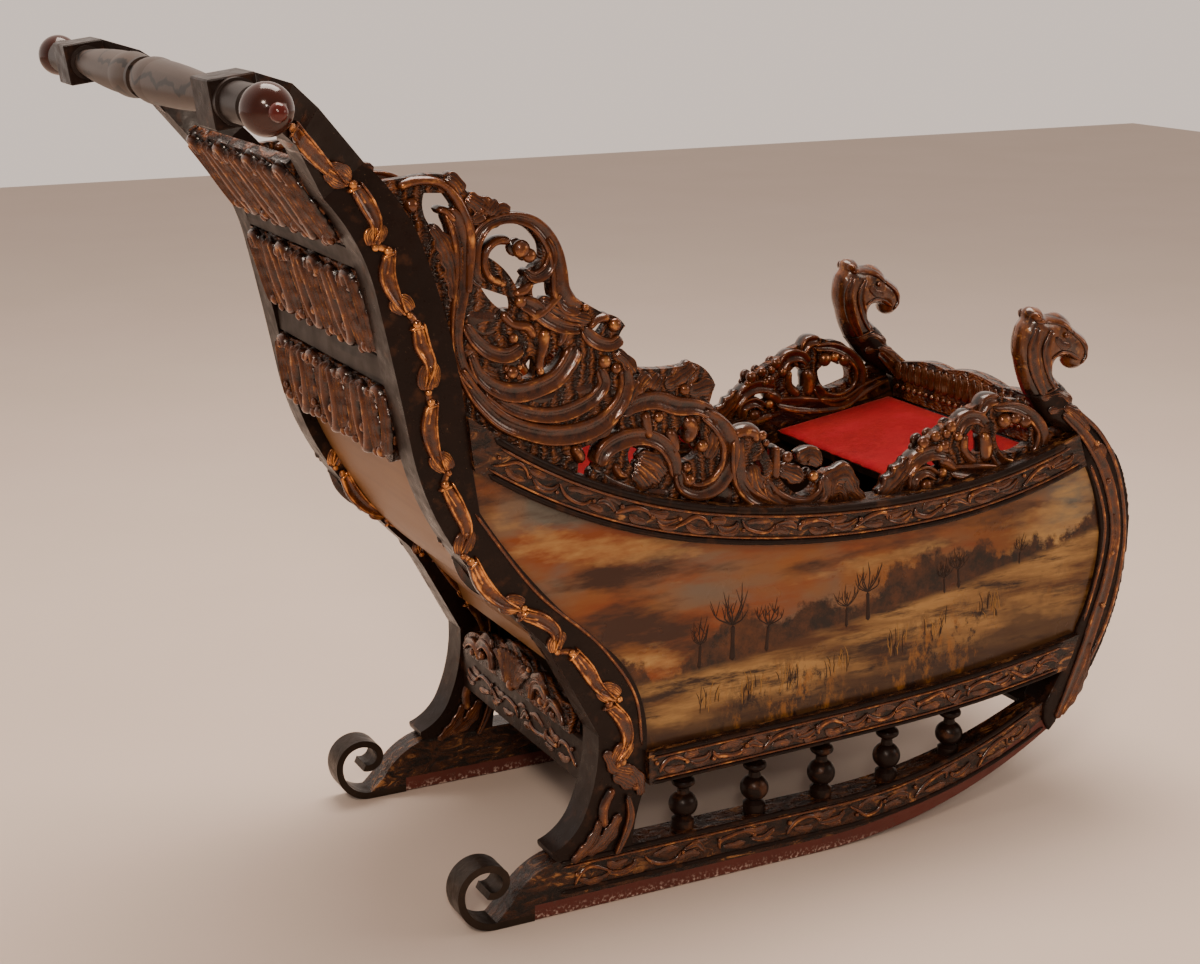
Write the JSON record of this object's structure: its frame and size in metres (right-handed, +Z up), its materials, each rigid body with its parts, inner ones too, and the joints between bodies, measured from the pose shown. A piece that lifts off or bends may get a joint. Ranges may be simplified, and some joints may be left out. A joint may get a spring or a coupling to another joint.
{
  "type": "child's push sled",
  "caption": "Carved wooden child's push sled with painted sides, pierced scroll crests, bird-head stems, a turned handle bar and iron scrolls on the runners.",
  "frame": {"origin": "bottom centre of the overall box, on the ground under the runners", "axes": "+X forward to the carved heads, +Y to the left, +Z up"},
  "size_m": [1.2473, 0.926, 1.0099],
  "materials": {
    "dark_varnish": "black-brown gloss varnish",
    "gilt_carving": "bronze gilt over brown gloss varnish",
    "gilt_moulding": "dark gloss varnish with bronze gilt edges",
    "iron": "dark wrought",
    "painted_board": "oil painted and varnished",
    "plain_wood": "oiled",
    "red_paint": "worn brick-red paint",
    "red_velvet": "velvet pile",
    "tan_board": "satin varnish",
    "worn_wood": "worn varnish"
  },
  "bodies": {
    "root": {"back_panel": "tan_board", "back_rail_lower": "worn_wood", "back_rail_upper": "worn_wood", "balusters_left": "gilt_carving", "balusters_right": "gilt_carving", "bottom_rail_left": "gilt_moulding", "bottom_rail_right": "gilt_moulding", "carved_head_left": "gilt_carving", "carved_head_right": "gilt_carving", "floor_board": "plain_wood", "front_board": "dark_varnish", "front_board_velvet": "red_velvet", "front_crest_board": "gilt_carving", "front_crest_left": "gilt_carving", "front_crest_right": "gilt_carving", "front_panel": "dark_varnish", "front_stem_left": "dark_varnish", "front_stem_right": "dark_varnish", "handle_bar": "worn_wood", "handle_block_left": "dark_varnish", "handle_block_right": "dark_varnish", "middle_crest_left": "gilt_carving", "middle_crest_right": "gilt_carving", "pierced_panel_lower": "gilt_carving", "pierced_panel_middle": "gilt_carving", "pierced_panel_top": "gilt_carving", "rear_cross_rail": "dark_varnish", "rear_foot_left": "dark_varnish", "rear_foot_right": "dark_varnish", "rear_post_left": "dark_varnish", "rear_post_right": "dark_varnish", "rear_shell_crest": "gilt_carving", "rear_wing_left": "gilt_carving", "rear_wing_right": "gilt_carving", "runner_lower_board_left": "red_paint", "runner_lower_board_right": "red_paint", "runner_scroll_left": "iron", "runner_scroll_right": "iron", "runner_upper_board_left": "gilt_moulding", "runner_upper_board_right": "gilt_moulding", "seat_board": "plain_wood", "seat_cushion": "red_velvet", "second_crest_left": "gilt_carving", "second_crest_right": "gilt_carving", "side_panel_left": "painted_board", "side_panel_right": "painted_board", "top_rail_left": "gilt_moulding", "top_rail_right": "gilt_moulding"}
  },
  "joints": []
}
